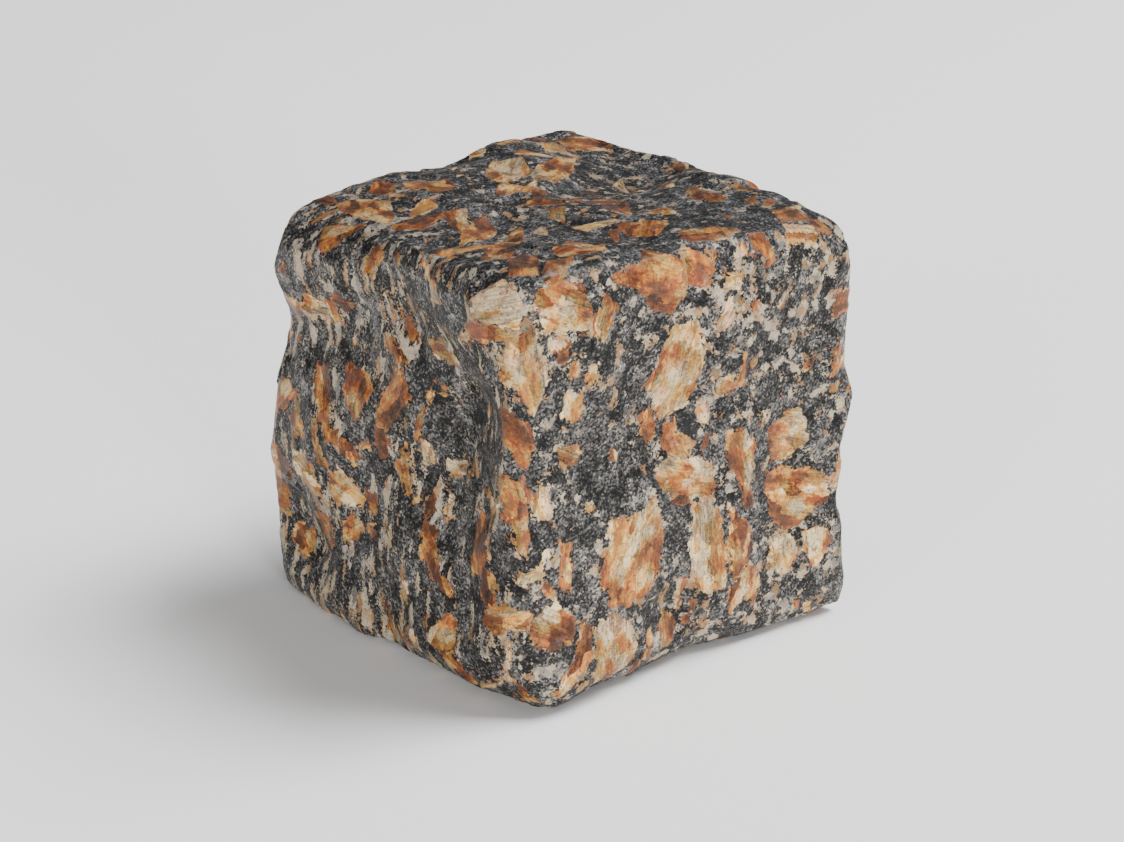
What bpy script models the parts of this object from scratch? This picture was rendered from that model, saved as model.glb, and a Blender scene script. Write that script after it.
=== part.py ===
# Granite cobblestone: one rough cube of coarse granite, split and dressed by hand, resting on its bed.
#
# The whole stone is a single solid. It starts as a cube of even squares, its arrises are worn round, its
# broad lumps, hollows and lost corners are pushed in one by one, and the skin is then broken into the flat
# facets that a hammer leaves. Metres, +Z up. The origin is the middle of the bed that the stone rests on,
# -Y is the front side and -X the left side.

import random
from collections import namedtuple

import bmesh
import bpy
from mathutils import Matrix, Vector, noise

MM = 0.001

# Driving dimensions
SIDE = 100 * MM  # nominal side of the sett
HEIGHT = 103 * MM  # height of the plain block, before the hump on its top
ARRIS_RADIUS = 8 * MM  # how far the edges and corners are worn round
SQUARES_PER_SIDE = 13  # facets along one side, about 8 mm each

# Broken skin: each corner of a facet leaves the plain surface by up to FACET_LIFT, by seeded noise whose
# waves are so much shorter than a facet that no corner follows its neighbour
FACET_LIFT = 2.2 * MM
FACET_SHIFT = 1.6 * MM  # sideways, so that no row of facets stays straight
FACET_WAVE = 0.9 * MM
FACET_SEED = Vector((9.6, 23.9, 9.6))
SHIFT_SEEDS = (Vector((41.2, 3.4, 8.1)), Vector((5.7, 60.3, 2.2)), Vector((7.9, 1.6, 83.5)))
SWELL_LIFT = 2.2 * MM  # slow waves of the split surface
SWELL_WAVE = 26 * MM
SWELL_SEED = Vector((10.0, 7.7, 1.9))
EASING_PASSES = 1  # how often the arrises between facets are eased
EASING = 0.35  # how far a point goes towards the middle of its neighbours

# Scars: small flats that light blows leave all over
SCARS = 90
SCAR_REACH = 13 * MM
SCAR_DEPTHS = (0.3 * MM, 0.9 * MM)  # least and most
SCAR_TILT = 0.18  # sideways part of the way a scar faces
SCAR_FADE = 3  # a scar is flat over its inner two thirds, and fades out over the rest
SCAR_SEED = 11

# The bed: what would lie lower than this is worn off flat
BED_DEPTH = 2.6 * MM

# A soft push on the block: where its middle is, how far it reaches along X, Y and Z, and the way it moves
# the surface. All are in millimetres, with the nominal block from -50 to 50 in X and Y and 0 to 103 in Z.
Push = namedtuple("Push", "at reach move")

CORNERS = [
    Push(at=(-50, 50, 102), reach=(34, 34, 34), move=(-0.5, 0, -4.0)),  # back left, top
    Push(at=(50, -50, 102), reach=(40, 40, 34), move=(-0.8, 0.6, -3.0)),  # front right, top
    Push(at=(-50, -50, 0), reach=(34, 34, 30), move=(4.5, -1.8, 0)),  # near corner, at the foot
    Push(at=(50, 50, 0), reach=(40, 40, 40), move=(-2.0, -3.0, 2.0)),  # hidden far corner
]

LUMPS = [
    Push(at=(34, 50, 102), reach=(38, 34, 34), move=(0, 0.5, 1.6)),  # hump at the back of the top
    Push(at=(46, 40, 102), reach=(42, 38, 34), move=(0, 0, 3.2)),  # its end at the far corner
    Push(at=(-50, 50, 46), reach=(40, 40, 40), move=(-2.2, 1.8, 0)),  # belly of the left arris
    Push(at=(-50, -33, 93), reach=(20, 22, 15), move=(-3.4, 0, 0.6)),  # nose over the near arris
    Push(at=(-50, -28, 12), reach=(20, 26, 20), move=(-2.6, 0, 0)),  # foot of the near arris
    Push(at=(-50, 36, 89), reach=(18, 24, 17), move=(-2.4, 0, 0)),  # brow high on the left side
    Push(at=(-50, 26, 40), reach=(18, 20, 24), move=(-2.8, 0, 0)),  # lump in the middle of the left side
    Push(at=(-50, 24, 5), reach=(30, 32, 20), move=(-4.2, 0, -1.0)),  # foot of the left side
    Push(at=(-50, 4, 0), reach=(20, 30, 16), move=(-1.8, 0, -0.6)),  # knob under the left side
    Push(at=(50, -50, 20), reach=(26, 26, 30), move=(2.4, -1.8, 0)),  # foot of the right arris
    Push(at=(50, -50, 46), reach=(30, 30, 30), move=(1.4, -1.0, 0)),  # belly of the right arris
    Push(at=(12, -50, 86), reach=(20, 14, 26), move=(0, -2.0, 0)),  # ridge high on the front
    Push(at=(-10, -50, 26), reach=(34, 14, 24), move=(0, -1.6, 0)),  # low swell of the front
    Push(at=(-30, -30, 102), reach=(20, 20, 16), move=(0, 0, 1.6)),  # near end of the top
    Push(at=(50, 10, 60), reach=(14, 34, 30), move=(2.4, 0, 0)),  # right side
    Push(at=(-6, 50, 40), reach=(34, 14, 34), move=(0, 2.6, 0)),  # back
]

HOLLOWS = [
    Push(at=(-50, -22, 56), reach=(18, 24, 34), move=(7.5, 0, 0)),  # hollow beside the near arris
    Push(at=(-50, 8, 72), reach=(16, 18, 20), move=(3.0, 0, 0)),  # hollow under the brow
    Push(at=(-50, 20, 102), reach=(34, 26, 22), move=(0, 0, -4.5)),  # dip in the left top arris
    Push(at=(-10, 50, 102), reach=(28, 24, 22), move=(0, 0, -4.0)),  # dip left of the hump
    Push(at=(-50, 50, 72), reach=(20, 20, 15), move=(2.4, -1.8, 0)),  # notch high on the left arris
    Push(at=(-8, -50, 0), reach=(30, 22, 18), move=(0, 1.0, 1.0)),  # spall under the front
    Push(at=(10, -6, 102), reach=(30, 26, 20), move=(0, 0, -2.6)),  # dish in the top
    Push(at=(30, -50, 52), reach=(20, 12, 22), move=(0, 1.8, 0)),  # right of the front
    Push(at=(50, 34, 30), reach=(16, 24, 26), move=(-2.8, 0, 0)),  # right side
    Push(at=(22, 50, 78), reach=(26, 14, 22), move=(0, -2.8, 0)),  # back
]

# A chip struck off by one blow: the middle of its flat scar, the way the scar faces, and how far it goes
Chip = namedtuple("Chip", "at facing reach")

CHIPS = [
    Chip(at=(-54.5, 53.5, 1), facing=(-0.60, 0.44, -0.67), reach=30),  # foot of the left arris
    Chip(at=(48.5, -47.5, 98), facing=(0.42, -0.32, 0.85), reach=30),  # right top corner
    Chip(at=(54, -53, 0), facing=(0.60, -0.48, -0.64), reach=30),  # right foot
    Chip(at=(-45.5, 46, 96), facing=(-0.50, 0.42, 0.76), reach=30),  # left top corner
    Chip(at=(47, 49, 102), facing=(0.45, 0.50, 0.74), reach=34),  # hidden far corner
    Chip(at=(28, -51, 66), facing=(0.08, -0.99, 0.06), reach=60),  # right half of the front
    Chip(at=(-28, -51, 60), facing=(-0.10, -0.99, 0.04), reach=50),  # near half of the front
    Chip(at=(-50, -14, 88), facing=(-0.80, 0.30, -0.52), reach=18),  # underside of the nose
    Chip(at=(-51, 22, 62), facing=(-0.93, -0.12, 0.34), reach=20),  # shelf above the left lump
    Chip(at=(-50.5, 30, 26), facing=(-0.93, 0.18, -0.30), reach=17),  # under the left lump
    Chip(at=(-16, 6, 102), facing=(-0.05, -0.04, 0.99), reach=60),  # near half of the top
    Chip(at=(24, 24, 101), facing=(0.12, -0.16, 0.98), reach=30),  # front slope of the hump
    Chip(at=(51, -14, 40), facing=(0.98, -0.12, -0.14), reach=50),  # right side
    Chip(at=(50, 30, 84), facing=(0.93, 0.16, 0.33), reach=36),  # right side, high
    Chip(at=(14, 51, 44), facing=(0.12, 0.98, -0.10), reach=50),  # back
    Chip(at=(-30, 50, 80), facing=(-0.20, 0.94, 0.26), reach=34),  # back, high
]


def even_cube():
    """A cube of even squares, in millimetres, standing on the plane Z = 0."""
    block = bmesh.new()
    bmesh.ops.create_cube(block, size=1.0)
    bmesh.ops.subdivide_edges(
        block, edges=block.edges[:], cuts=SQUARES_PER_SIDE - 1, use_grid_fill=True
    )
    to_block = Matrix.Diagonal((SIDE / MM, SIDE / MM, HEIGHT / MM, 1))
    bmesh.ops.transform(block, matrix=to_block, verts=block.verts[:])
    bmesh.ops.translate(block, vec=(0, 0, HEIGHT / MM / 2), verts=block.verts[:])
    return block


def wear_round(block):
    """Rounds the arrises and corners: each point keeps to a ball rolled along the inside of the block."""
    radius = ARRIS_RADIUS / MM
    half = Vector((SIDE, SIDE, HEIGHT)) / MM / 2
    middle = Vector((0, 0, half.z))
    for vert in block.verts:
        point = vert.co - middle
        inner = Vector([max(-h + radius, min(h - radius, p)) for p, h in zip(point, half)])
        outward = point - inner
        if outward.length > 0:
            vert.co = middle + inner + outward.normalized() * radius


def push(block, pushes):
    """Moves the points near each push, fully at its middle and not at all past its reach."""
    for vert in block.verts:
        moved = Vector()
        for one in pushes:
            away = [(p - a) / r for p, a, r in zip(vert.co, one.at, one.reach)]
            nearness = 1 - sum(step * step for step in away)
            if nearness > 0:
                moved += nearness * nearness * Vector(one.move)
        vert.co += moved


def strike(block, scar, facing, reach):
    """Lays what stands proud of a flat scar back onto it, fading out where the blow's reach ends."""
    for vert in block.verts:
        proud = (vert.co - scar).dot(facing)
        share = SCAR_FADE * (1 - (vert.co - scar).length / reach)
        if proud > 0 and share > 0:
            vert.co -= facing * proud * min(share, 1)


def strike_off(block, chips):
    """Strikes the named chips, one after the other."""
    for chip in chips:
        strike(block, Vector(chip.at), Vector(chip.facing).normalized(), chip.reach)


def break_into_facets(block):
    """Lifts, sinks and shifts the points by seeded noise, and splits each square into two flat facets."""
    block.normal_update()
    normals = {vert: vert.normal.copy() for vert in block.verts}
    for vert, outward in normals.items():
        place = vert.co / (FACET_WAVE / MM)
        swell = noise.noise(vert.co / (SWELL_WAVE / MM) + SWELL_SEED) * SWELL_LIFT
        lift = noise.noise(place + FACET_SEED) * FACET_LIFT
        shift = Vector([noise.noise(place + seed) for seed in SHIFT_SEEDS]) * (FACET_SHIFT / MM)
        shift -= outward * shift.dot(outward)
        vert.co += shift + outward * (lift + swell) / MM
    bmesh.ops.triangulate(block, faces=block.faces[:], quad_method="SHORT_EDGE")


def split_facets(block):
    """Splits each facet in four, which leaves it flat, so that the scars have points to move."""
    bmesh.ops.subdivide_edges(block, edges=block.edges[:], cuts=1, use_grid_fill=True)


def strike_scars(block):
    """Strikes seeded small flats all over, each a little tilted, at the point nearest a spot on the cube."""
    blows = random.Random(SCAR_SEED)
    half = Vector((SIDE, SIDE, HEIGHT)) / MM / 2
    middle = Vector((0, 0, half.z))
    block.normal_update()
    for _ in range(SCARS):
        spot = Vector([blows.uniform(-h, h) for h in half])
        axis = blows.randrange(3)
        spot[axis] = blows.choice((-1, 1)) * half[axis]
        spot += middle
        struck = min(block.verts, key=lambda vert: (vert.co - spot).length)
        tilt = Vector([blows.uniform(-SCAR_TILT, SCAR_TILT) for _ in range(3)])
        facing = (struck.normal + tilt).normalized()
        scar = struck.co - facing * blows.uniform(*SCAR_DEPTHS) / MM
        strike(block, scar, facing, SCAR_REACH / MM)


def ease_arrises(block):
    """Eases the edges of the facets a little, as weather does."""
    for _ in range(EASING_PASSES):
        bmesh.ops.smooth_vert(
            block, verts=block.verts[:], factor=EASING, use_axis_x=True, use_axis_y=True, use_axis_z=True
        )


def lay_on_bed(block):
    """Wears the underside flat, and moves the stone so that its bed's middle is the origin."""
    bed = min(vert.co.z for vert in block.verts) + BED_DEPTH / MM
    for vert in block.verts:
        vert.co.z = max(vert.co.z, bed)
    low = Vector([min(vert.co[axis] for vert in block.verts) for axis in range(3)])
    high = Vector([max(vert.co[axis] for vert in block.verts) for axis in range(3)])
    centre = (low + high) / 2
    bmesh.ops.translate(block, vec=(-centre.x, -centre.y, -low.z), verts=block.verts[:])


def granite_material():
    """Plain stand-in for the stone's colour: the mean of dark mica, pale quartz and orange feldspar."""
    granite = bpy.data.materials.new("granite")
    granite.use_nodes = True
    shader = granite.node_tree.nodes["Principled BSDF"]
    shader.inputs["Base Color"].default_value = (0.20, 0.15, 0.11, 1)
    shader.inputs["Roughness"].default_value = 0.55
    shader.inputs["Metallic"].default_value = 0
    return granite


def build_cobblestone():
    """Shapes the stone in millimetres and hands it over in metres."""
    block = even_cube()
    wear_round(block)
    push(block, CORNERS + LUMPS + HOLLOWS)
    strike_off(block, CHIPS)
    break_into_facets(block)
    split_facets(block)
    strike_scars(block)
    ease_arrises(block)
    lay_on_bed(block)
    bmesh.ops.scale(block, vec=(MM, MM, MM), verts=block.verts[:])
    bmesh.ops.triangulate(block, faces=block.faces[:])
    bmesh.ops.recalc_face_normals(block, faces=block.faces[:])
    mesh = bpy.data.meshes.new("cobblestone")
    block.to_mesh(mesh)
    block.free()
    mesh.shade_smooth()
    mesh.materials.append(granite_material())
    return bpy.data.objects.new("cobblestone", mesh)


# Build
for leftover in list(bpy.data.objects):
    bpy.data.objects.remove(leftover)
collection = bpy.data.collections.new("granite cobblestone")
bpy.context.scene.collection.children.link(collection)
collection.objects.link(build_cobblestone())
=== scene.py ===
import random
from collections import namedtuple
from math import cos, radians, sin

import bmesh
import bpy
import numpy as np
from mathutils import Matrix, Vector
from mathutils.bvhtree import BVHTree


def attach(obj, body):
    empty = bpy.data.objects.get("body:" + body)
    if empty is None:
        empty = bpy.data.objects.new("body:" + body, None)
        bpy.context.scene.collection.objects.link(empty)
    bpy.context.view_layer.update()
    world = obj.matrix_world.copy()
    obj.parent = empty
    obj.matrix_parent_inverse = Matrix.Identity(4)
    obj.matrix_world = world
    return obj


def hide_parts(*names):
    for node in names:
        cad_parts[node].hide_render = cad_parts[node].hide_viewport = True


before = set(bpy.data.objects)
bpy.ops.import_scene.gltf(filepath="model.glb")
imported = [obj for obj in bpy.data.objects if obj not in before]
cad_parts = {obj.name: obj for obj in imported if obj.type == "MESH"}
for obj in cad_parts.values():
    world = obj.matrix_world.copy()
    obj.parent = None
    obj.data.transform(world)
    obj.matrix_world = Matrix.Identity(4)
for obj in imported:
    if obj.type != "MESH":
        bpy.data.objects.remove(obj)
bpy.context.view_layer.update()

# The stone's skin
# A granite sett is split from the block and dressed with a hammer, so its sides are broken flats, ledges and
# shallow hollows. The solid has them down to 4 mm. Here its facets are divided and their edges eased, and the
# relief of the broken crystals follows once the crystals are laid out.

MM = 0.001
SKIN_LEVELS = 2  # rounds of dividing, which make 12 four-sided faces of each facet
SKIN_EASING = 1  # rounds of easing the edges between facets
SKIN_EASED_BY = 0.7  # how far each round moves a point towards its neighbours


def stone_copy():
    """The solid's mesh with its loose triangles joined up."""
    joined = bmesh.new()
    joined.from_mesh(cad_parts["cobblestone"].data)
    bmesh.ops.remove_doubles(joined, verts=joined.verts[:], dist=0.01 * MM)
    mesh = bpy.data.meshes.new("stone")
    joined.to_mesh(mesh)
    joined.free()
    stone = bpy.data.objects.new("stone", mesh)
    bpy.context.scene.collection.objects.link(stone)
    return stone


class Tree:
    """A Geometry Nodes tree that is put together node by node."""

    def __init__(self, name):
        self.group = bpy.data.node_groups.new(name, "GeometryNodeTree")
        self.group.interface.new_socket("Geometry", in_out="INPUT", socket_type="NodeSocketGeometry")
        self.group.interface.new_socket("Geometry", in_out="OUTPUT", socket_type="NodeSocketGeometry")
        self.entry = self.group.nodes.new("NodeGroupInput")
        self.exit = self.group.nodes.new("NodeGroupOutput")

    def size(self, name, kind, value):
        """A named input of the tree."""
        socket = self.group.interface.new_socket(name, in_out="INPUT", socket_type="NodeSocket" + kind)
        if value is not None:
            socket.default_value = value
        return self.entry.outputs[name]

    def add(self, kind, settings=None, inputs=None, output=0):
        """Adds a node, with its settings first and then its sockets' values or links."""
        node = self.group.nodes.new(kind)
        for name, value in (settings or {}).items():
            setattr(node, name, value)
        for name, value in (inputs or {}).items():
            if isinstance(value, bpy.types.NodeSocket):
                self.group.links.new(value, node.inputs[name])
            else:
                node.inputs[name].default_value = value
        return node.outputs[output]

    def math(self, operation, first, second=0.0):
        return self.add("ShaderNodeMath", {"operation": operation}, {0: first, 1: second})

    def vector(self, operation, first, second=(0, 0, 0), output=0):
        return self.add("ShaderNodeVectorMath", {"operation": operation}, {0: first, 1: second}, output)

    def apply(self, piece, values):
        """Runs the tree on the piece with these input values, and keeps the result as its plain mesh."""
        modifier = piece.modifiers.new(self.group.name, "NODES")
        modifier.node_group = self.group
        for item in self.group.interface.items_tree:
            if item.in_out == "INPUT" and item.name in values:
                modifier[item.identifier] = values[item.name]
        made = piece.evaluated_get(bpy.context.evaluated_depsgraph_get())
        mesh = bpy.data.meshes.new_from_object(made)
        piece.modifiers.remove(modifier)
        piece.data = mesh


def divide_and_ease():
    """Divides the facets and eases the edges between them."""
    tree = Tree("divided facets")
    levels = tree.size("Levels", "Int", SKIN_LEVELS)
    easing = tree.size("Easing", "Int", SKIN_EASING)
    facets = tree.entry.outputs["Geometry"]
    divided = tree.add("GeometryNodeSubdivideMesh", None, {"Mesh": facets, "Level": levels})
    eased = tree.add(
        "GeometryNodeBlurAttribute",
        {"data_type": "FLOAT_VECTOR"},
        {"Value": tree.add("GeometryNodeInputPosition"), "Iterations": easing, "Weight": SKIN_EASED_BY},
    )
    moved = tree.add("GeometryNodeSetPosition", None, {"Geometry": divided, "Position": eased})
    tree.group.links.new(moved, tree.exit.inputs["Geometry"])
    return tree


stone = stone_copy()
divide_and_ease().apply(stone, {"Levels": SKIN_LEVELS, "Easing": SKIN_EASING})

# Feldspar crystals
# The coarse crystals of the granite are blocks of feldspar up to 29 mm long, cream, orange and rust red,
# which lie through the stone in all directions. The broken skin cuts them, so each shows as an angular
# patch. The ones that stand out are listed one by one, and seeded ones fill the rest of the skin.

# A crystal as its patch on one side: its tone, the corners of the patch in millimetres, X and Z on the front,
# Y and Z on the left, X and Y on the top, and how much the tone grows towards the end of each of the two.
# A tone of 0 is pale cream, and it goes through ochre and orange to rust and brown at 1.
Crystal = namedtuple("Crystal", "tone corners first second", defaults=(0.0, 0.0))

FRONT = [
    Crystal(
        0.30,
        [(-7, 83), (-1, 84), (1, 76), (0, 68), (-2, 63), (-7, 61), (-11, 66), (-13, 70), (-10, 77)],
        -0.35,
        0.1,
    ),
    Crystal(0.72, [(-14, 63), (-12, 64), (-9, 60), (-9, 57), (-11, 56), (-13, 58)]),
    Crystal(0.40, [(-7, 59), (-4, 61), (-3, 57), (-1, 55), (-2, 51), (-6, 52), (-7, 55)]),
    Crystal(
        0.36,
        [(-12, 49), (-8, 52), (-3, 52), (4, 50), (6, 43), (3, 41), (-8, 42), (-10, 46)],
        0.0,
        -0.25,
    ),
    Crystal(0.42, [(-38, 62), (-34, 62), (-30, 59), (-31, 57), (-34, 56), (-37, 58)], 0.1, -0.2),
    Crystal(
        0.34,
        [
            (-25, 43), (-20, 42), (-16, 43), (-13, 45), (-10, 40), (-10, 33),
            (-12, 27), (-14, 23), (-20, 21), (-25, 23), (-28, 30), (-27, 36),
        ],
        0.05,
        -0.3,
    ),
    Crystal(0.14, [(-1, 40), (5, 40), (8, 34), (9, 27), (9, 17), (3, 17), (-1, 22), (-2, 31)], 0.12),
    Crystal(0.50, [(9, 40), (12, 35), (18, 28), (18, 24), (14, 20), (11, 17), (10, 25), (9, 32)], 0.1),
    Crystal(0.42, [(11, 19), (15, 21), (19, 20), (21, 15), (19, 10), (15, 13), (12, 10), (10, 14)]),
    Crystal(
        0.50,
        [(9, 55), (14, 55), (18, 50), (18, 46), (16, 41), (17, 36), (14, 36), (12, 42), (9, 50)],
        -0.2,
        -0.25,
    ),
    Crystal(0.38, [(22, 54), (28, 55), (32, 55), (35, 51), (34, 46), (31, 43), (24, 44), (22, 49)], -0.5),
    Crystal(
        0.46,
        [(21, 42), (29, 41), (36, 40), (42, 37), (41, 31), (35, 28), (29, 26), (24, 29), (22, 36)],
        -0.2,
        0.1,
    ),
    Crystal(0.60, [(11, 77), (13, 73), (15, 69), (13, 65), (11, 66), (12, 71)], 0.2),
    Crystal(0.74, [(17, 72), (19, 74), (18, 70), (16, 68)]),
    Crystal(0.20, [(3, 70), (8, 69), (11, 66), (9, 63), (5, 65)], 0.3),
    Crystal(0.56, [(43, 70), (45, 66), (43, 62), (41, 61), (41, 66)]),
    Crystal(0.50, [(42, 60), (45, 59), (44, 56), (42, 57)]),
    # Pale on the near arris: partly the crystal's own cream, partly a painted highlight
    Crystal(
        0.32,
        [(-44, 97), (-38, 99), (-32, 97), (-30, 91), (-30, 86), (-37, 87), (-42, 88), (-44, 92)],
        0.35,
        0.15,
    ),
    Crystal(0.52, [(-26, 94), (-23, 90), (-25, 86), (-28, 83), (-30, 88), (-28, 90)], 0.1, 0.1),
    Crystal(
        0.66,
        [
            (-24, 97), (-17, 99), (-12, 100), (-7, 99), (-3, 96),
            (-3, 90), (-7, 86), (-12, 87), (-16, 91), (-20, 94),
        ],
        -0.2,
        0.1,
    ),
    # Pale on the near arris: partly the crystal's own cream, partly a painted highlight
    Crystal(
        0.12,
        [(-50, 88), (-45, 90), (-42, 86), (-40, 80), (-41, 75), (-44, 70), (-47, 75), (-50, 80)],
        -0.45,
    ),
    Crystal(0.18, [(-41, 87), (-37, 87), (-37, 84), (-40, 83)]),
    Crystal(0.70, [(-39, 83), (-35, 85), (-36, 81), (-39, 81)]),
    Crystal(0.03, [(-43, 55), (-40, 54), (-40, 46), (-43, 46), (-45, 50)]),
    # Paler on the near arris: partly the crystal's own colour, partly a painted highlight
    Crystal(0.38, [(-50, 57), (-45, 56), (-45, 43), (-46, 38), (-48, 40), (-49, 48)], 0.0, 0.4),
    Crystal(0.74, [(-49, 71), (-45, 69), (-44, 63), (-45, 58), (-47, 61), (-50, 65)]),
    Crystal(0.20, [(-43, 40), (-41, 39), (-43, 34), (-45, 34)]),
    Crystal(0.60, [(-39, 42), (-35, 40), (-35, 33), (-35, 28), (-38, 30), (-38, 36)]),
    Crystal(0.55, [(-46, 24), (-40, 28), (-35, 23), (-35, 17), (-42, 16), (-45, 19)], 0.0, -0.3),
    Crystal(
        0.40,
        [(-33, 22), (-30, 19), (-30, 12), (-35, 8), (-40, 4), (-41, 6), (-36, 12), (-35, 17)],
        0.15,
    ),
    Crystal(
        0.16,
        [(-29, 20), (-24, 21), (-20, 18), (-17, 11), (-17, 7), (-22, 4), (-29, 4), (-30, 8)],
        0.1,
        -0.25,
    ),
    Crystal(0.42, [(-7, 17), (-3, 13), (-3, 9), (-6, 6), (-9, 7), (-9, 13)]),
    Crystal(0.32, [(-9, 24), (-7, 22), (-7, 17), (-9, 17)]),
    Crystal(0.30, [(-13, 13), (-11, 12), (-12, 5), (-14, 6)]),
    Crystal(0.76, [(-1, 17), (1, 16), (1, 11), (-1, 10)]),
    Crystal(0.16, [(24, 27), (30, 25), (33, 20), (29, 14), (24, 18)]),
    Crystal(0.20, [(33, 25), (40, 25), (42, 20), (38, 14), (34, 18)]),
    Crystal(0.12, [(8, 88), (9, 83), (4, 79), (3, 82)]),
    Crystal(0.08, [(6, 92), (11, 92), (10, 88), (6, 89)]),
    Crystal(0.08, [(1, 64), (4, 63), (3, 58), (1, 58)]),
    Crystal(0.78, [(1, 57), (4, 56), (3, 52), (1, 53)]),
    Crystal(0.05, [(-36, 80), (-33, 82), (-32, 77), (-35, 76)]),
    Crystal(0.08, [(-31, 79), (-28, 79), (-28, 73), (-31, 74)]),
    Crystal(0.22, [(-36, 75), (-32, 73), (-32, 67), (-36, 66), (-37, 70)]),
]

LEFT = [
    Crystal(0.62, [(28, 63), (23, 64), (21, 59), (20, 52), (18, 47), (20, 46), (23, 52), (27, 56)]),
    Crystal(0.50, [(26, 54), (24, 50), (21, 42), (20, 39), (23, 40), (25, 47)]),
    Crystal(0.56, [(16, 66), (9, 66), (5, 62), (7, 59), (11, 54), (14, 56), (16, 60)], 0.2),
    Crystal(0.72, [(38, 68), (36, 70), (35, 66), (37, 65)]),
    Crystal(0.60, [(46, 54), (38, 57), (35, 54), (38, 49), (44, 46)]),
    Crystal(0.66, [(37, 51), (31, 48), (29, 45), (33, 44), (37, 47)]),
    Crystal(0.58, [(-2, 70), (2, 62), (4, 58), (4, 55), (0, 54), (-3, 57), (-6, 62), (-7, 67)], 0.0, 0.2),
    Crystal(0.60, [(1, 77), (-2, 75), (-6, 72), (-4, 70), (-1, 72)]),
    Crystal(0.68, [(5, 55), (2, 55), (0, 52), (0, 48), (3, 46), (5, 50)]),
    Crystal(0.72, [(15, 48), (11, 48), (10, 44), (13, 42), (16, 44)]),
    Crystal(0.70, [(19, 49), (17, 50), (16, 46), (18, 46)]),
    Crystal(0.55, [(-15, 70), (-13, 66), (-10, 58), (-8, 52), (-7, 54), (-9, 60), (-13, 68)]),
    Crystal(0.54, [(-5, 53), (-3, 50), (-1, 46), (-5, 41), (-9, 38), (-9, 40), (-5, 45), (-5, 49)]),
    Crystal(0.86, [(-10, 42), (-13, 42), (-15, 37), (-12, 37)]),
    Crystal(
        0.60,
        [(-12, 37), (-16, 35), (-18, 31), (-20, 27), (-25, 24), (-26, 22), (-19, 24), (-13, 28), (-12, 33)],
    ),
    Crystal(0.66, [(-27, 44), (-31, 43), (-35, 40), (-37, 36), (-34, 31), (-30, 30), (-29, 36)]),
    Crystal(0.36, [(-31, 49), (-36, 47), (-38, 40), (-38, 34), (-36, 41), (-33, 45)]),
    Crystal(0.78, [(-36, 34), (-40, 33), (-41, 26), (-37, 25), (-35, 28)]),
    Crystal(0.50, [(-38, 25), (-43, 27), (-49, 26), (-48, 22), (-44, 22), (-41, 19), (-38, 20)], -0.1),
    Crystal(0.30, [(35, 40), (28, 42), (24, 36), (22, 31), (28, 31), (36, 34)]),
    Crystal(0.46, [(18, 41), (13, 38), (8, 35), (9, 33), (20, 31), (21, 37)]),
    Crystal(0.64, [(9, 37), (5, 37), (4, 33), (8, 33)]),
    Crystal(0.78, [(44, 38), (38, 37), (37, 32), (43, 31)]),
    Crystal(0.55, [(32, 25), (24, 27), (22, 24), (26, 19), (30, 19)]),
    Crystal(0.48, [(18, 28), (12, 30), (9, 29), (11, 24), (17, 22)]),
    Crystal(0.64, [(8, 29), (4, 30), (3, 27), (7, 26)]),
    Crystal(0.42, [(42, 19), (36, 18), (34, 13), (38, 11), (42, 14)]),
    Crystal(0.34, [(-19, 14), (-25, 19), (-27, 17), (-28, 12), (-24, 8), (-17, 10)]),
    Crystal(0.62, [(-23, 9), (-27, 10), (-31, 5), (-33, 2), (-29, 3), (-24, 6)]),
    Crystal(0.64, [(-5, 9), (-8, 8), (-10, 4), (-7, 4)]),
    Crystal(0.20, [(-6, 20), (-9, 20), (-9, 15), (-6, 16)]),
    Crystal(0.42, [(6, 96), (1, 95), (3, 91), (8, 88), (9, 91)]),
    Crystal(0.68, [(21, 82), (17, 82), (15, 79), (19, 77), (22, 79)]),
    Crystal(0.45, [(24, 78), (21, 78), (20, 74), (23, 73)]),
    Crystal(0.12, [(31, 79), (25, 79), (24, 75), (29, 73), (33, 76)]),
    Crystal(0.36, [(-14, 97), (-18, 97), (-23, 94), (-25, 90), (-21, 90), (-19, 93)]),
    Crystal(0.46, [(-10, 79), (-16, 79), (-24, 77), (-23, 74), (-15, 75)]),
    Crystal(0.40, [(-3, 81), (-6, 80), (-7, 76), (-4, 76)]),
    Crystal(0.10, [(-43, 101), (-51, 99), (-51, 93), (-48, 90), (-43, 91), (-37, 90), (-38, 95)], -0.1, -0.1),
    Crystal(0.36, [(-36, 90), (-43, 91), (-48, 90), (-49, 87), (-43, 86), (-29, 83)]),
    Crystal(0.08, [(-16, 51), (-21, 52), (-24, 49), (-20, 47), (-16, 48)]),
    Crystal(0.03, [(-16, 43), (-18, 43), (-19, 38), (-17, 37)]),
    Crystal(0.14, [(-9, 54), (-12, 54), (-13, 49), (-9, 48)]),
]

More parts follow.
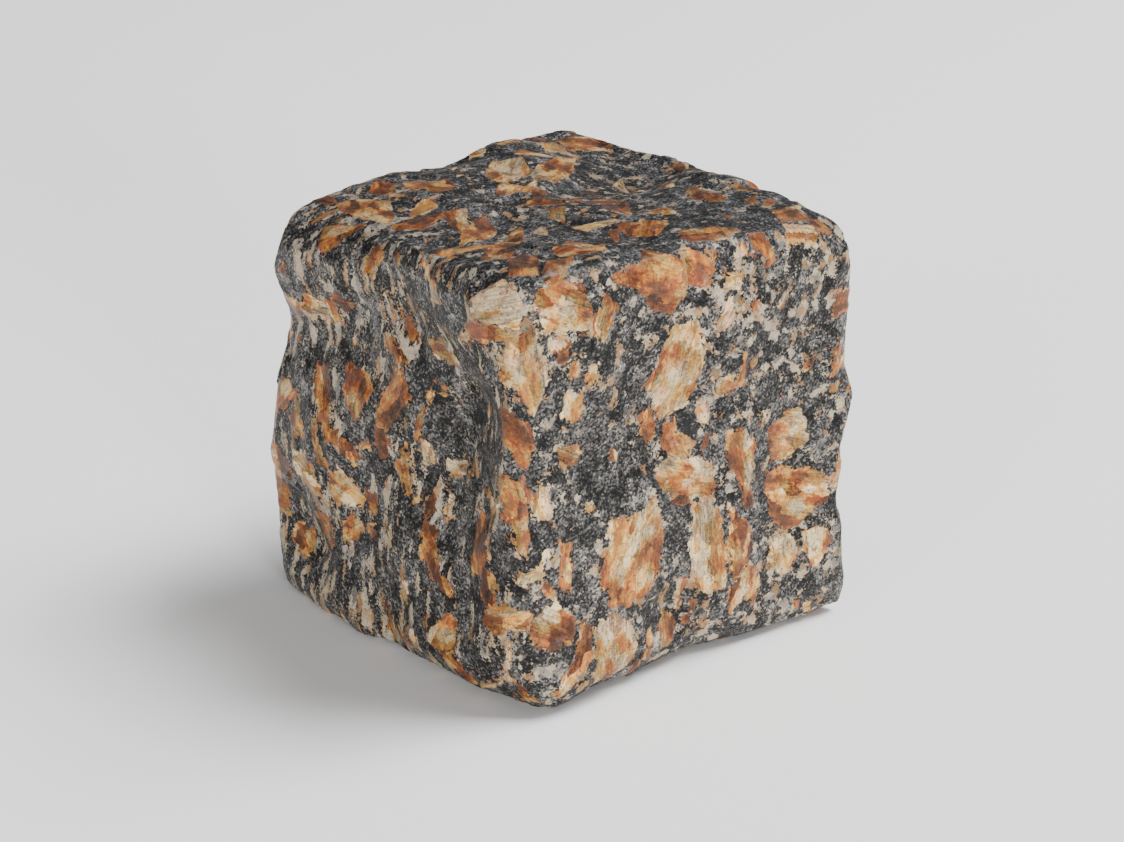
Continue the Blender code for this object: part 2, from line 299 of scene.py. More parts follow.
TOP = [
    Crystal(0.24, [(5, 32), (12, 28), (8, 20), (-1, 13), (-6, 15), (-5, 21)], 0.1, -0.2),
    Crystal(0.52, [(12, 22), (21, 26), (28, 27), (19, 17), (8, 10), (3, 12), (6, 18)]),
    Crystal(0.55, [(30, 33), (33, 42), (44, 40), (46, 33), (38, 31)]),
    Crystal(0.52, [(22, 31), (24, 40), (30, 40), (29, 31)]),
    Crystal(0.66, [(-22, 31), (-19, 26), (-14, 21), (-16, 16), (-22, 16), (-25, 23)]),
    Crystal(0.70, [(-26, 35), (-23, 32), (-27, 25), (-31, 28), (-30, 33)]),
    Crystal(0.74, [(-40, 42), (-36, 40), (-37, 34), (-40, 36)]),
    Crystal(0.60, [(-38, 34), (-34, 28), (-31, 22), (-36, 13), (-40, 9), (-41, 18), (-41, 28)], 0.0, 0.1),
    Crystal(0.58, [(-40, 9), (-34, 9), (-27, 7), (-30, 3), (-36, 1), (-41, 5)], -0.1),
    Crystal(0.30, [(-29, 15), (-25, 14), (-26, 10), (-31, 9), (-33, 12)]),
    Crystal(0.42, [(-28, 6), (-23, 3), (-28, -4), (-34, -10), (-32, -2)]),
    Crystal(0.56, [(-34, -9), (-24, -1), (-20, 0), (-22, -7), (-31, -13), (-40, -17)], 0.1),
    Crystal(0.56, [(-21, -10), (-17, -9), (-24, -19), (-36, -26), (-33, -20)]),
    Crystal(0.84, [(-33, -30), (-33, -36), (-41, -46), (-46, -42), (-38, -32)]),
    Crystal(0.76, [(-42, -48), (-35, -41), (-27, -40), (-31, -45), (-38, -49)]),
    Crystal(
        0.55,
        [(-27, -32), (-23, -35), (-23, -38), (-20, -38), (-15, -36), (-19, -41), (-26, -42), (-30, -38)],
    ),
    Crystal(0.55, [(-5, -27), (0, -29), (4, -25), (4, -30), (9, -28), (3, -36), (-3, -39), (-7, -34)]),
    Crystal(0.50, [(0, -42), (5, -41), (10, -44), (15, -47), (8, -49), (1, -47), (-1, -45)]),
    Crystal(0.68, [(30, -13), (31, -17), (27, -24), (23, -22), (25, -16)]),
    Crystal(0.40, [(29, -20), (30, -25), (26, -29), (24, -25)]),
    Crystal(0.74, [(4, -11), (12, -11), (5, -21), (0, -18)]),
    Crystal(0.40, [(4, -4), (10, -4), (13, -10), (5, -9)]),
    Crystal(0.62, [(-8, -7), (-4, -9), (-12, -18), (-12, -12)]),
    Crystal(0.80, [(-12, 3), (-6, 4), (0, -2), (-3, -7), (-10, -2)]),
    Crystal(0.70, [(5, 4), (8, 0), (2, -6), (-1, -2)]),
    Crystal(0.64, [(-1, 8), (3, 8), (0, 3), (-5, 2)]),
    Crystal(0.60, [(31, -38), (37, -40), (38, -45), (28, -45)]),
    Crystal(0.74, [(36, -45), (41, -44), (42, -48), (37, -48)]),
    Crystal(0.56, [(14, -48), (20, -48), (21, -52), (15, -51)]),
    Crystal(0.66, [(40, -16), (43, -20), (40, -27), (36, -22)]),
    Crystal(0.50, [(-42, -12), (-39, -15), (-44, -21), (-47, -17)]),
    Crystal(0.62, [(-36, -22), (-31, -26), (-38, -32), (-42, -27)]),
]

# Where the pale grains crowd between the crystals, and where the ground stays black: the middle and the reach
# of the place in millimetres, and how strong it is there, below 0 where the grains are missing
CROWDS = [
    ((30, -50, 86), 26, 0.05),
    ((8, -50, 80), 12, 0.04),
    ((34, -50, 14), 16, 0.05),
    ((-43, -50, 50), 7, 0.07),
    ((-24, -50, 52), 14, -0.09),
    ((38, -50, 55), 10, -0.05),
    ((-20, -50, 68), 9, -0.03),
    ((-50, 32, 84), 22, 0.07),
    ((-50, 6, 84), 18, 0.06),
    ((-50, 12, 12), 22, 0.05),
    ((-50, -18, 48), 10, 0.04),
    ((-50, -28, 64), 12, -0.06),
    ((-50, -10, 68), 7, -0.08),
    ((5, -30, 100), 18, -0.09),
    ((26, -36, 98), 13, -0.05),
    ((14, 36, 102), 11, -0.09),
    ((28, 5, 100), 16, 0.05),
    ((20, 50, 70), 24, 0.05),
    ((-25, 50, 30), 22, 0.05),
    ((50, 10, 60), 28, 0.04),
]

# Every crystal, in millimetres
CRYSTAL_THICK = 5.0  # how deep it goes each way from the skin, at least
CRYSTAL_THICK_SHARE = 0.35  # and as a share of its reach along the skin
CRYSTAL_AROUND = 4.0  # how far outside it the depth is still worked out
CRYSTAL_STEP = 7.0  # how far the pattern moves on from one crystal to the next, so that no two are alike
OUTSIDE = 80  # where a crystal of the front or the left side is dropped from
ABOVE = 150  # where one of the top is dropped from

# The seeded crystals, with lengths in millimetres
CRYSTAL_SEED = 23
SCATTERED = 1000  # tries, of which those that fall on a crystal already laid are left out
SCATTERED_REACH = 50  # half the stone's width, and the height of its middle
SCATTERED_HEIGHTS = (2, 102)
SCATTERED_FROM = 90  # where they are dropped from, measured from the stone's middle
SCATTERED_LONG = (6.0, 26.0)
SCATTERED_LEAST = 2
SCATTERED_SEEN = 3.5  # the longest of those that fill in between the listed ones
SCATTERED_SEEN_TOP = 10.5
SCATTERED_SHARE = 0.25  # the share of them kept there
SCATTERED_SHARE_TOP = 0.625
SCATTERED_SHAPE = (0.35, 0.9)  # width as a share of length
SCATTERED_CUT = (0.25, 0.95)  # how much of a corner is cut off
SCATTERED_TONES = (0.02, 0.1, 0.18, 0.26, 0.34, 0.42, 0.48, 0.54, 0.6, 0.7)
SCATTERED_GROWTH = 0.4  # the most that the tone grows or falls towards an end
SCATTERED_APART = 0.8  # how far a new crystal's middle keeps from the others
SCATTERED_APART_SHARE = 0.28  # and by this share of its width
SCATTERED_LEAN = 0.7  # how far those on the sides lean from upright
SCATTERED_DIP = 0.3  # how far they dip into the skin

# The top is darkened with painted shade, from where the skin looks up by the first to where it does by the
# second
FACING_UP_FROM = 0.35
FACING_UP_FULL = 0.85


def keep_on(mesh, name, numbers):
    """Keeps one number for each point of the mesh."""
    mesh.attributes.new(name, "FLOAT", "POINT").data.foreach_set("value", numbers.astype("f"))


class CrystalField:
    """For each point of the skin: how deep it lies in a crystal, and where in that crystal."""

    def __init__(self, mesh):
        count = len(mesh.vertices)
        self.points = np.empty(count * 3, "f")
        mesh.vertices.foreach_get("co", self.points)
        self.points = self.points.reshape(-1, 3).astype(float) / MM
        self.depth = np.full(count, -CRYSTAL_AROUND)
        self.lie = np.zeros((count, 3))
        self.tone = np.full(count, 0.5)
        self.laid = 0

    def lay(self, middle, axes, crystal):
        """Lays one crystal, a prism with its corners on the first two axes and the third going inward."""
        corners = np.array(crystal.corners, float)
        reach = np.abs(corners).max(0)
        thick = max(CRYSTAL_THICK, CRYSTAL_THICK_SHARE * reach.max())
        limit = (reach @ reach) + (thick + CRYSTAL_AROUND) ** 2
        near = np.nonzero(((self.points - middle) ** 2).sum(1) < limit)[0]
        local = (self.points[near] - middle) @ np.array(axes).T
        flat = local[:, :2]
        away = np.full(len(near), np.inf)
        inside = np.zeros(len(near), bool)
        for start, end in zip(corners, np.roll(corners, -1, axis=0)):
            edge = end - start
            share = np.clip(((flat - start) @ edge) / (edge @ edge), 0, 1)
            away = np.minimum(away, np.hypot(*(flat - start - share[:, None] * edge).T))
            straddles = (start[1] > flat[:, 1]) != (end[1] > flat[:, 1])
            climb = edge[1] or 1e-9  # a level edge straddles nothing, but isn't divided by 0 either
            crossing = start[0] + (flat[:, 1] - start[1]) * edge[0] / climb
            inside ^= straddles & (flat[:, 0] < crossing)
        depth = np.minimum(np.where(inside, away, -away), thick - np.abs(local[:, 2]))
        deeper = depth > self.depth[near]
        kept = near[deeper]
        length = np.linalg.svd(corners - corners.mean(0))[2][0]
        self.laid += 1
        self.depth[kept] = depth[deeper]
        self.lie[kept, 0] = flat[deeper] @ length
        self.lie[kept, 1] = flat[deeper] @ (-length[1], length[0])
        self.lie[kept, 2] = self.laid * CRYSTAL_STEP
        growth = (crystal.first / reach[0], crystal.second / reach[1])
        self.tone[kept] = crystal.tone + flat[deeper] @ growth

    def store(self, mesh):
        """Keeps the field on the mesh, in millimetres."""
        keep_on(mesh, "crystal depth", self.depth)
        keep_on(mesh, "crystal tone", self.tone)
        lie = mesh.attributes.new("crystal lie", "FLOAT_VECTOR", "POINT")
        lie.data.foreach_set("vector", self.lie.astype("f").ravel())


def lay_by_hand(field, skin, side, crystals):
    """Drops each crystal onto the skin of its side: side gives where it starts, its two axes and inward."""
    start, first, second, inward = side
    for crystal in crystals:
        middle = np.mean(crystal.corners, 0)
        above = start + first * middle[0] + second * middle[1]
        spot = skin.ray_cast(above * MM, inward)[0] / MM
        around = crystal._replace(corners=crystal.corners - middle)
        field.lay(np.array(spot), (first, second, inward), around)


def scatter(field, skin, shapes):
    """Fills the rest of the skin with seeded crystals, mostly upright on the sides."""
    for _ in range(SCATTERED):
        outward = Vector([shapes.gauss(0, 1) for _ in range(3)])
        face = shapes.randrange(3)
        across = [shapes.uniform(-SCATTERED_REACH, SCATTERED_REACH) for _ in range(2)]
        spot = Vector([*across, shapes.uniform(*SCATTERED_HEIGHTS)])
        away = Vector((0, 0, 0))
        away[face] = shapes.choice((-1, 1))
        spot[face] = away[face] * SCATTERED_FROM + (SCATTERED_REACH if face == 2 else 0)
        top = away.z > 0
        seen = away.x < 0 or away.y < 0 or top
        long = shapes.uniform(*SCATTERED_LONG) ** 2 / SCATTERED_LONG[1] + SCATTERED_LEAST
        if seen:
            long = min(long, SCATTERED_SEEN_TOP if top else SCATTERED_SEEN)
        wide = long * shapes.uniform(*SCATTERED_SHAPE)
        corners = []
        for right, up in ((1, 1), (-1, 1), (-1, -1), (1, -1)):
            cut = [shapes.uniform(*SCATTERED_CUT) for _ in range(2)]
            end, edge = right * long / 2, up * wide / 2
            pair = [(end, edge * (1 - cut[0])), (end * (1 - cut[1]), edge)]
            corners += pair if right * up > 0 else pair[::-1]
        if face == 2:
            corners = corners[::3]
        tone = shapes.choice(SCATTERED_TONES)
        growth = [shapes.uniform(-SCATTERED_GROWTH, SCATTERED_GROWTH) for _ in range(2)]
        crystal = Crystal(tone, corners, *growth)
        middle = skin.ray_cast(spot * MM, -away)[0]
        if middle is None:
            continue
        middle = np.array(middle / MM)
        if seen and shapes.random() > (SCATTERED_SHARE_TOP if top else SCATTERED_SHARE):
            continue
        nearest = ((field.points - middle) ** 2).sum(1).argmin()
        if field.depth[nearest] > -SCATTERED_APART - wide * SCATTERED_APART_SHARE:
            continue
        upright = outward
        if face != 2:
            upright = Vector((outward.x * SCATTERED_LEAN, outward.y * SCATTERED_LEAN, 1.0))
        length = (upright - away * upright.dot(away)).normalized()
        inward = (outward * SCATTERED_DIP - away).normalized()
        length = (length - inward * length.dot(inward)).normalized()
        field.lay(middle, (length, inward.cross(length), inward), crystal)


field = CrystalField(stone.data)
skin = BVHTree.FromPolygons(
    [vert.co for vert in stone.data.vertices], [tuple(face.vertices) for face in stone.data.polygons]
)
X, Y, Z = Vector((1, 0, 0)), Vector((0, 1, 0)), Vector((0, 0, 1))
lay_by_hand(field, skin, (-OUTSIDE * Y, X, Z, Y), FRONT)
lay_by_hand(field, skin, (-OUTSIDE * X, Y, Z, X), LEFT)
lay_by_hand(field, skin, (ABOVE * Z, X, Y, -Z), TOP)
scatter(field, skin, random.Random(CRYSTAL_SEED))
field.store(stone.data)

crowded = np.zeros(len(field.points))
for middle, reach, strength in CROWDS:
    crowded += strength * np.exp(-((field.points - middle) ** 2).sum(1) / reach**2)
keep_on(stone.data, "pale crowd", crowded)

# How far the skin faces up, kept for the painted shade on the top
facing = np.empty(len(stone.data.vertices) * 3, "f")
stone.data.vertices.foreach_get("normal", facing)
upward = np.clip((facing[2::3] - FACING_UP_FROM) / (FACING_UP_FULL - FACING_UP_FROM), 0, 1)
keep_on(stone.data, "weather", upward)

# Broken relief
# The hammer leaves shell-shaped flats between the ledges of the solid, and the crystals break along their
# cleavage, so each stands a little proud, and the dark ground between them is rough.

# All in millimetres, and the tilt in millimetres of rise for each
FLAT_WIDTH = 12.0
FLAT_TILT = 0.10
GRAIN_WIDTH = 2.2
GRAIN_DEPTH = 0.22
CRYSTAL_RISE = 0.16
RELIEF_SINK = 0.45  # how far the whole skin goes in, to stay inside the solid


def broken_relief():
    """Moves the skin along its normal by the flats, the grain and the rise of the crystals."""
    tree = Tree("broken granite")
    flat_width = tree.size("Flat Width", "Float", FLAT_WIDTH)
    flat_tilt = tree.size("Flat Tilt", "Float", FLAT_TILT)
    grain_width = tree.size("Grain Width", "Float", GRAIN_WIDTH)
    grain_depth = tree.size("Grain Depth", "Float", GRAIN_DEPTH)
    crystal_rise = tree.size("Crystal Rise", "Float", CRYSTAL_RISE)
    sink = tree.size("Sink", "Float", RELIEF_SINK)
    material = tree.size("Material", "Material", None)
    position = tree.add("GeometryNodeInputPosition")
    place = tree.add("ShaderNodeVectorMath", {"operation": "SCALE"}, {0: position, "Scale": 1 / MM})
    per_flat = tree.math("DIVIDE", 1.0, flat_width)
    cells = tree.add("ShaderNodeTexVoronoi", None, {"Vector": place, "Scale": per_flat}, "Color")
    centres = tree.add("ShaderNodeTexVoronoi", None, {"Vector": place, "Scale": per_flat}, "Position")
    across = tree.vector("SUBTRACT", place, centres)
    facing = tree.vector("SUBTRACT", cells, (0.5, 0.5, 0.5))
    tilt = tree.vector("DOT_PRODUCT", across, facing, "Value")
    per_grain = tree.math("DIVIDE", 1.0, grain_width)
    grain = tree.add(
        "ShaderNodeTexNoise", None, {"Vector": place, "Scale": per_grain, "Detail": 3.0, "Roughness": 0.6}
    )
    depth = tree.add("GeometryNodeInputNamedAttribute", {"data_type": "FLOAT"}, {"Name": "crystal depth"})
    rise = tree.add("ShaderNodeMapRange", None, {0: depth, 1: -0.5, 2: 0.5, 3: 0.0, 4: crystal_rise})
    flats = tree.math("MULTIPLY", tilt, flat_tilt)
    rough = tree.math("MULTIPLY", tree.math("SUBTRACT", grain, 0.5), grain_depth)
    height = tree.math("ADD", tree.math("ADD", flats, rough), tree.math("SUBTRACT", rise, sink))
    move = tree.add(
        "ShaderNodeVectorMath",
        {"operation": "SCALE"},
        {0: tree.add("GeometryNodeInputNormal"), "Scale": tree.math("MULTIPLY", height, MM)},
    )
    whole = tree.entry.outputs["Geometry"]
    carved = tree.add("GeometryNodeSetPosition", None, {"Geometry": whole, "Offset": move})
    height_now = tree.add("ShaderNodeSeparateXYZ", None, {0: tree.add("GeometryNodeInputPosition")}, "Z")
    below = tree.math("MAXIMUM", tree.math("MULTIPLY", height_now, -1.0))
    lift = tree.add("ShaderNodeCombineXYZ", None, {"Z": below})
    rested = tree.add("GeometryNodeSetPosition", None, {"Geometry": carved, "Offset": lift})
    real = tree.add("GeometryNodeRealizeInstances", None, {0: rested})
    smooth = tree.add("GeometryNodeSetShadeSmooth", None, {0: real})
    painted = tree.add("GeometryNodeSetMaterial", None, {"Geometry": smooth, "Material": material})
    tree.group.links.new(painted, tree.exit.inputs["Geometry"])
    return tree


# Granite
# Three minerals make its colour. Black mica with fine grey flakes is the ground, pale grains of quartz and
# feldspar about 2 mm wide crowd it in clouds, and the coarse feldspar crystals are mottled from cream
# through ochre and orange to rust, streaked along their length, with brown specks and fine cracks.


class Varying:
    """A number that varies over a finish. Sums and products of it add Math nodes."""

    def __init__(self, finish, socket):
        self.finish = finish
        self.socket = socket

    def math(self, operation, *terms):
        return self.finish.add("ShaderNodeMath", {"operation": operation}, dict(enumerate(terms)))

    def __add__(self, other):
        return self.math("ADD", self, other)

    def __radd__(self, other):
        return self.math("ADD", other, self)

    def __sub__(self, other):
        return self.math("SUBTRACT", self, other)

    def __rsub__(self, other):
        return self.math("SUBTRACT", other, self)

    def __mul__(self, other):
        return self.math("MULTIPLY", self, other)

    def __rmul__(self, other):
        return self.math("MULTIPLY", other, self)


class Finish:
    """A material that is put together node by node."""

    def __init__(self, name):
        self.material = bpy.data.materials.new(name)
        self.material.use_nodes = True
        self.tree = self.material.node_tree
        self.shader = self.tree.nodes["Principled BSDF"]

    def add(self, kind, settings=None, inputs=None, output=0):
        """Adds a node, with its settings first and then its sockets' values or links."""
        node = self.tree.nodes.new(kind)
        for name, value in (settings or {}).items():
            if name == "stops":
                for place, colour in value[2:]:
                    node.color_ramp.elements.new(place)
                for stop, (place, colour) in zip(node.color_ramp.elements, value):
                    stop.position = place
                    stop.color = (*colour, 1)
            else:
                setattr(node, name, value)
        for name, value in (inputs or {}).items():
            self.put(node.inputs[name], value)
        return Varying(self, node.outputs[output])

    def put(self, socket, value):
        if isinstance(value, Varying):
            self.tree.links.new(value.socket, socket)
        elif socket.type == "RGBA":
            socket.default_value = (*value, 1)
        else:
            socket.default_value = value

    def vector(self, operation, first, second):
        return self.add("ShaderNodeVectorMath", {"operation": operation}, {0: first, 1: second})

    def scaled(self, vector, factor):
        return self.add("ShaderNodeVectorMath", {"operation": "SCALE"}, {0: vector, "Scale": factor})

    def noise(self, place, width, detail=2.0, output="Fac"):
        inputs = {"Vector": place, "Scale": 1 / width, "Detail": detail}
        return self.add("ShaderNodeTexNoise", None, inputs, output)

    def cells(self, place, width, output="Color", feature="F1"):
        inputs = {"Vector": place, "Scale": 1 / width}
        return self.add("ShaderNodeTexVoronoi", {"feature": feature}, inputs, output)

    def lots(self, colour, count):
        """Up to three seeded numbers from 0 to 1 for each cell, from the cell's colour."""
        return [self.add("ShaderNodeSeparateColor", None, {0: colour}, part) for part in range(count)]

    def kept(self, name, output="Fac"):
        """What was kept on the mesh under this name."""
        return self.add("ShaderNodeAttribute", {"attribute_name": name}, None, output)

    def rise(self, value, low, high):
        """0 below low, 1 above high, and smooth between."""
        settings = {"interpolation_type": "SMOOTHSTEP"}
        return self.add("ShaderNodeMapRange", settings, {0: value, 1: low, 2: high})

    def over(self, mask, under, top):
        """The colour top laid over the colour under where mask is 1."""
        return self.add("ShaderNodeMix", {"data_type": "RGBA"}, {0: mask, 6: under, 7: top}, 2)

    def ramp(self, value, stops):
        return self.add("ShaderNodeValToRGB", {"stops": stops}, {0: value})


MICA_TONES = [
    (0.0, (0.003, 0.003, 0.003)),
    (0.22, (0.010, 0.0095, 0.009)),
    (0.40, (0.034, 0.032, 0.030)),
    (0.56, (0.084, 0.079, 0.074)),
    (0.74, (0.16, 0.148, 0.136)),
    (1.0, (0.34, 0.315, 0.285)),
]
PALE_TONES = [
    (0.0, (0.075, 0.066, 0.058)),
    (0.26, (0.15, 0.132, 0.112)),
    (0.44, (0.37, 0.315, 0.24)),
    (0.62, (0.36, 0.29, 0.20)),
    (0.76, (0.30, 0.19, 0.10)),
    (0.88, (0.22, 0.115, 0.05)),
    (1.0, (0.14, 0.12, 0.075)),
]
FELDSPAR_TONES = [
    (0.0, (0.62, 0.48, 0.28)),
    (0.16, (0.56, 0.38, 0.15)),
    (0.32, (0.50, 0.28, 0.062)),
    (0.48, (0.41, 0.17, 0.034)),
    (0.64, (0.30, 0.090, 0.022)),
    (0.80, (0.16, 0.048, 0.015)),
    (1.0, (0.065, 0.028, 0.014)),
]
BROWN_SPECK = (0.06, 0.022, 0.012)
BROWN_DIRT = (0.13, 0.060, 0.028)
RUSTY_RIM = (0.22, 0.075, 0.03)
PINK_BLUSH = (1.10, 0.74, 0.72)  # what it does to red, green and blue
PAINTED_TOP_SHADE = (0.31, 0.29, 0.22)  # how much the painted shade on the top takes of red, green and blue
MIDDLE = (0.5, 0.5, 0.5)

# The widths of what the eye tells apart, in millimetres
GRIT = 0.32
FLAKE = 0.42
HAIR = 0.45
FINE = 0.7
STREAK = 1.1
SHAKE = 1.2
SPECK = 1.3
DIRT = 1.7
DRAWN_GRAIN = 1.8
CHIP = 1.9
ROUND_GRAIN = 2.2
MICA_PATCH = 2.6
DRAWN_CLOUD = 2.6
CRACK_APART = 2.8
BLOCK = 3.0
ROUND_CLOUD = 3.0
MOTTLE = 4.4
WANDER = 5.0
HAZE = 6.0
BLUSH = 6.0
CROWD = 13.0

RAGGED_BY = 1.6  # how far grains are shaken out of shape
WARPED_BY = 2.6  # and the mottle of a crystal
DRAWN = (1.0, 1.0, 0.28)  # grains on the left and the back are drawn out upright
POLISH = 0.16  # specular level
COAT_ROUGHNESS = 0.42
BUMP_STRENGTH = 0.6


def granite_finish():
    granite = Finish("granite")
    place = granite.scaled(granite.add("ShaderNodeTexCoord", None, None, "Object"), 1 / MM)
    fine = granite.noise(place, FINE, 3.0)
    shake = granite.vector("SUBTRACT", granite.noise(place, SHAKE, 3.0, "Color"), MIDDLE)
    ragged = granite.vector("ADD", place, granite.scaled(shake, RAGGED_BY))
    upright = granite.vector("MULTIPLY", ragged, DRAWN)
    side = granite.add(
        "ShaderNodeVectorMath", {"operation": "DOT_PRODUCT"}, {0: place, 1: (-1, 1, 0)}, "Value"
    )

    # Black mica and its flakes
    flake_a, flake_b, flake_c = granite.lots(granite.cells(place, FLAKE), 3)
    patch = granite.noise(ragged, MICA_PATCH, 3.0)
    haze = granite.noise(ragged, HAZE, 2.0)
    flakes = flake_a * 0.55 + flake_b * flake_c * 0.40
    ground = granite.ramp(flakes + (patch - 0.5) * 0.9 + (haze - 0.5) * 1.0 - 0.02, MICA_TONES)

    # Pale grains in clouds, round on the front and the right, drawn out on the left and the back
    crowd = granite.noise(place, CROWD, 2.0)
    cloud_round = granite.noise(ragged, ROUND_CLOUD, 4.0)
    cloud_drawn = granite.noise(upright, DRAWN_CLOUD, 4.0)
    cloud = cloud_round + (cloud_drawn - cloud_round) * granite.rise(side, -8.0, 8.0)
    round_cells = granite.cells(ragged, ROUND_GRAIN)
    drawn_cells = granite.cells(upright, DRAWN_GRAIN)
    lot_a, lot_b = granite.lots(granite.over(granite.rise(side, -0.5, 0.5), round_cells, drawn_cells), 2)
    grained = cloud + (crowd - 0.5) * 0.3 + granite.kept("pale crowd")
    grained = grained + (lot_b - 0.5) * 0.20 + (flake_a - 0.5) * 0.10
    pale = granite.rise(grained, 0.575, 0.655)
    wander = granite.noise(place, WANDER, 2.0)
    grains = granite.ramp(lot_a * 0.6 + wander * 0.9 - 0.15, PALE_TONES)
    grains = granite.scaled(grains, 0.55 + 0.5 * fine + 0.35 * flake_b)
    colour = granite.over(pale, ground, grains)

    # Feldspar crystals: their outline
    lie = granite.kept("crystal lie", "Vector")
    # How far the skin faces up: the painted shade on the top follows it
    weather = granite.kept("weather")
    chip = granite.lots(granite.cells(ragged, CHIP), 1)[0]
    broken = (chip - 0.5) * 1.5 + (wander - 0.5) * 1.8 + fine - 0.5
    inner = granite.kept("crystal depth") + broken * (1 - 0.75 * weather)
    crystal = granite.rise(inner, -0.08, 0.16)

    # Their tone, mottled, streaked along their length and in cleavage blocks
    along = granite.vector("MULTIPLY", lie, (0.22, 1.0, 1.0))
    streak = granite.noise(along, STREAK, 4.0)
    stretched = granite.vector("MULTIPLY", lie, (0.75, 1.0, 1.0))
    warped = granite.vector("ADD", stretched, granite.scaled(shake, WARPED_BY))
    mottle = granite.noise(warped, MOTTLE, 5.0)
    patches = granite.rise(mottle, 0.40, 0.60)
    blocks = granite.vector("ADD", granite.vector("MULTIPLY", lie, (0.5, 1.0, 1.0)), shake)
    block_a, block_b = granite.lots(granite.cells(blocks, BLOCK), 2)
    hair = granite.noise(granite.vector("MULTIPLY", lie, (0.10, 1.0, 1.0)), HAIR, 2.0)
    shade = granite.kept("crystal tone") + (patches - 0.5) * 0.36 + (mottle - 0.5) * 0.8
    shade = shade + (streak - 0.5) * 0.8 + (block_a - 0.5) * 0.50
    feldspar = granite.ramp(shade, FELDSPAR_TONES)
    blush = granite.rise(granite.noise(place, BLUSH, 3.0), 0.50, 0.60)
    feldspar = granite.over(blush * 0.5, feldspar, granite.vector("MULTIPLY", feldspar, PINK_BLUSH))
    grit = granite.noise(place, GRIT, 1.0)
    bright = 1.1 * streak + 0.4 * fine + 0.80 * block_b + 0.20 * flake_b + 0.6 * grit + 1.1 * hair - 1.35
    feldspar = granite.scaled(feldspar, bright.math("MAXIMUM", bright, 0.08))

    # Their dirt, specks, cracks and rims
    dirt = granite.rise(granite.noise(warped, DIRT, 4.0), 0.56, 0.62)
    feldspar = granite.over(dirt * 0.6, feldspar, BROWN_DIRT)
    speck = granite.lots(granite.cells(place, SPECK), 1)[0]
    speck_near = granite.cells(place, SPECK, "Distance") + (fine - 0.5) * 0.3
    specks = granite.rise(speck, 0.66, 0.68) * (1 - granite.rise(speck_near, 0.10, 0.26))
    feldspar = granite.over(specks * 0.75, feldspar, BROWN_SPECK)
    cracks = granite.cells(granite.vector("ADD", along, shake), CRACK_APART, "Distance", "DISTANCE_TO_EDGE")
    crack = (1 - granite.rise(cracks, 0.006, 0.035)) * granite.rise(streak, 0.42, 0.56)
    feldspar = granite.over(crack * 0.7, feldspar, BROWN_SPECK)
    rim = (1 - granite.rise(inner, 0.1, 0.8)) * granite.rise(wander, 0.45, 0.6)
    feldspar = granite.over(rim * 0.5, feldspar, RUSTY_RIM)
    colour = granite.over(crystal, colour, feldspar)

    # The top, darkened with painted shade
    painted_shade_factors = {part: 1 - taken * weather for part, taken in enumerate(PAINTED_TOP_SHADE)}
    colour = granite.vector("MULTIPLY", colour, granite.add("ShaderNodeCombineXYZ", None, painted_shade_factors))

    shader = granite.shader.inputs
    glint = granite.rise(flake_c, 0.90, 0.93) * (1 - crystal)
    granite.put(shader["Base Color"], colour)
    granite.put(shader["Specular IOR Level"], POLISH)
    granite.put(shader["Coat Roughness"], COAT_ROUGHNESS)
    granite.put(shader["Coat Weight"], 0.15 * crystal + 0.5 * glint)
    granite.put(shader["Roughness"], 0.50 - 0.10 * crystal - 0.20 * glint + 0.15 * (fine - 0.5))
    height = 0.12 * crystal + 0.08 * pale + 0.20 * fine
    height = height + 0.08 * flake_b * (1 - crystal) + 0.10 * streak * crystal
    bump = {"Strength": BUMP_STRENGTH, "Distance": MM, "Height": height}
    granite.put(shader["Normal"], granite.add("ShaderNodeBump", None, bump, "Normal"))
    return granite.material


broken_relief().apply(stone, {"Material": granite_finish()})
stone.name = "granite_stone"
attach(stone, "root")
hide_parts("cobblestone")

# The table
# A sheet of pale matt board that the stone lies on, loose. It only catches the light and the stone's shadow,
# and reaches past the edges of the view.

TABLE_REACH = 6.0
TABLE_GREY = (0.90, 0.90, 0.90)
TABLE_ROUGHNESS = 0.9


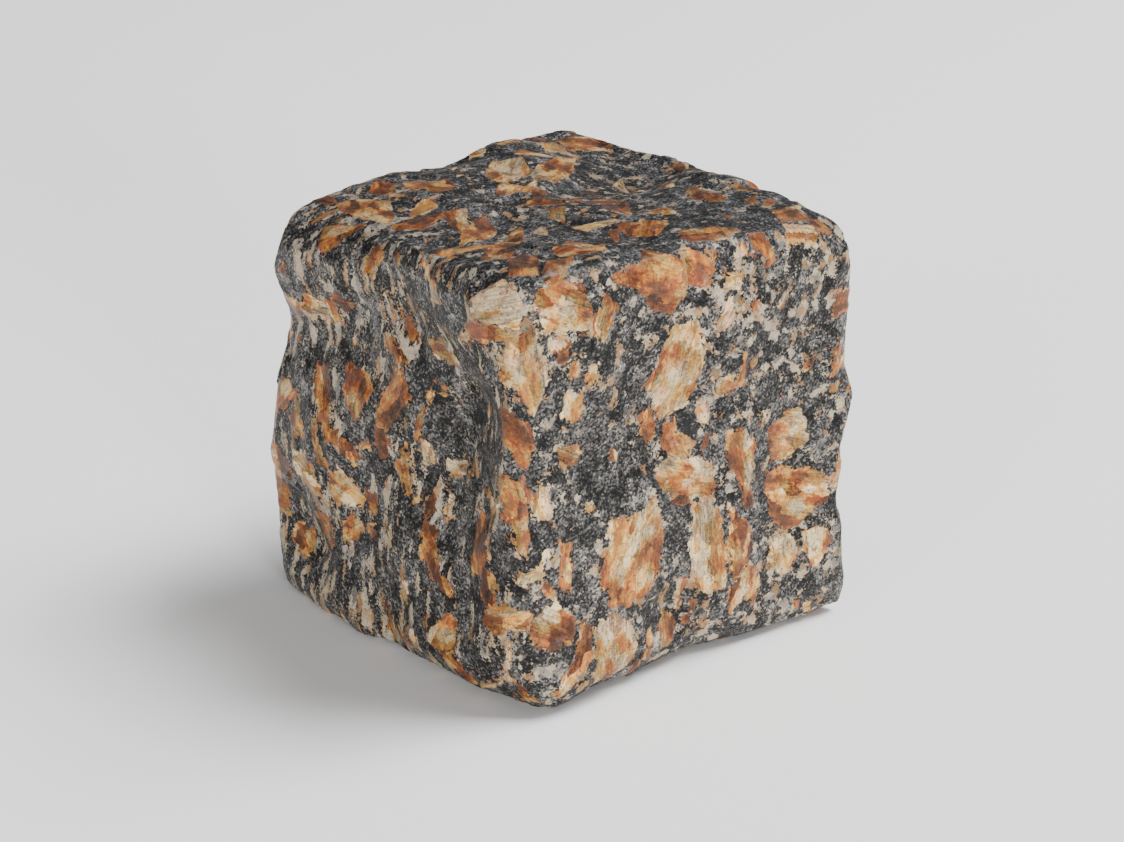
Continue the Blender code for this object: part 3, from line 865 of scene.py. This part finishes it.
def table_top():
    sheet = bmesh.new()
    bmesh.ops.create_grid(sheet, x_segments=1, y_segments=1, size=TABLE_REACH)
    mesh = bpy.data.meshes.new("table")
    sheet.to_mesh(mesh)
    sheet.free()
    table = bpy.data.objects.new("table", mesh)
    bpy.context.scene.collection.objects.link(table)
    pale = Finish("pale table")
    pale.put(pale.shader.inputs["Base Color"], TABLE_GREY)
    pale.put(pale.shader.inputs["Roughness"], TABLE_ROUGHNESS)
    mesh.materials.append(pale.material)
    return table


table_top()

# Light: a wide soft lamp high on the right, low ones far off in front and on the left, and a pale room

LAMPS = [
    # towards the lamp, its side, its distance and its watts
    (Vector((0.46, -0.26, 0.85)), 1.8, 3.5, 228.0),
    (Vector((-0.25, -0.96, 0.13)), 1.5, 7.0, 510.0),
    (Vector((-0.95, -0.28, 0.16)), 1.8, 7.0, 205.0),
]
LAMPS_AIM = Vector((0, 0, 0.05))
SKY = (0.30, 0.30, 0.30)


def aim(thing, place, target):
    thing.location = place
    thing.rotation_mode = "QUATERNION"
    thing.rotation_quaternion = (target - place).to_track_quat("-Z", "Y")
    bpy.context.scene.collection.objects.link(thing)


for towards, side, away, watts in LAMPS:
    lamp = bpy.data.lights.new("lamp", "AREA")
    lamp.size = side
    lamp.energy = watts
    aim(bpy.data.objects.new("lamp", lamp), towards.normalized() * away, LAMPS_AIM)
world = bpy.data.worlds.new("pale room")
world.use_nodes = True
world.node_tree.nodes["Background"].inputs["Color"].default_value = (*SKY, 1)
world.node_tree.nodes["Background"].inputs["Strength"].default_value = 1.0
bpy.context.scene.world = world

# Camera: to the left of the front and a little above, with a long lens

LENS = 75  # millimetres, on a sensor 36 wide
VIEW_TURN = radians(-38.5)
VIEW_RISE = radians(20.1)
VIEW_AWAY = 0.555
VIEW_MIDDLE = Vector((0.0010, -0.0008, 0.0455))

lens = bpy.data.cameras.new("camera")
lens.lens = LENS
lens.sensor_width = 36
lens.clip_start = 0.01
camera = bpy.data.objects.new("camera", lens)
back = Vector((sin(VIEW_TURN) * cos(VIEW_RISE), -cos(VIEW_TURN) * cos(VIEW_RISE), sin(VIEW_RISE)))
aim(camera, VIEW_MIDDLE + back * VIEW_AWAY, VIEW_MIDDLE)
bpy.context.scene.camera = camera
